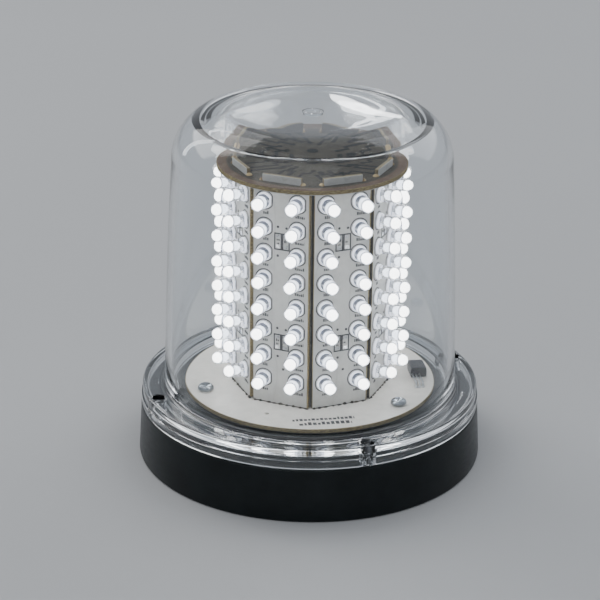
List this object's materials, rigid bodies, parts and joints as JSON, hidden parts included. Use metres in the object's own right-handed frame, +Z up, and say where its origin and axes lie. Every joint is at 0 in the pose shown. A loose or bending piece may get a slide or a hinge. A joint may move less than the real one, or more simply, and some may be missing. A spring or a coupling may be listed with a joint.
{
  "type": "led navigation light",
  "caption": "All-round LED signal light: black round base, clear screwed-on dome with flange, and an octagonal column of white boards carrying rows of bullet LEDs.",
  "frame": {"origin": "centre of the base's underside, on the lamp's axis", "axes": "+Z up along the lamp's axis; -Y is the side that faces the viewer at a joint between two LED boards; +X to the right"},
  "size_m": [0.133, 0.133, 0.1367],
  "materials": {
    "housing": "satin moulded, fine grain",
    "dome": "clear, polished",
    "board": "white solder mask over glass-fibre board, tan edges",
    "led": "water-clear epoxy, lit",
    "zinc": "bright zinc plated",
    "dark_screw": "black oxide",
    "brass": "turned",
    "rubber": "matte",
    "component": "moulded epoxy",
    "driver": "green solder mask",
    "terminal": "moulded"
  },
  "bodies": {
    "root": {"base_housing": "housing", "base_plate": "housing", "base_gasket": "rubber", "cable_grommet": "rubber", "mount_insert_1": "brass", "mount_insert_2": "brass", "mount_insert_3": "brass", "plate_screw_1": "zinc", "plate_screw_2": "zinc", "plate_screw_3": "zinc", "plate_screw_4": "zinc", "dome_seal": "rubber", "dome_lens": "dome", "dome_screw_1": "dark_screw", "dome_screw_2": "dark_screw", "dome_screw_3": "dark_screw", "dome_screw_4": "dark_screw", "bottom_board": "board", "top_board": "board", "board_screw_1": "zinc", "board_screw_2": "zinc", "board_screw_3": "zinc", "led_board_1": "board", "led_board_2": "board", "led_board_3": "board", "led_board_4": "board", "led_board_5": "board", "led_board_6": "board", "led_board_7": "board", "led_board_8": "board", "led_string_1a": "led", "led_string_1b": "led", "led_string_2a": "led", "led_string_2b": "led", "led_string_3a": "led", "led_string_3b": "led", "led_string_4a": "led", "led_string_4b": "led", "led_string_5a": "led", "led_string_5b": "led", "led_string_6a": "led", "led_string_6b": "led", "led_string_7a": "led", "led_string_7b": "led", "led_string_8a": "led", "led_string_8b": "led", "regulator": "component", "driver_board": "driver", "terminal_block": "terminal", "capacitor": "component", "driver_screw_1": "zinc", "driver_screw_2": "zinc"}
  },
  "joints": []
}
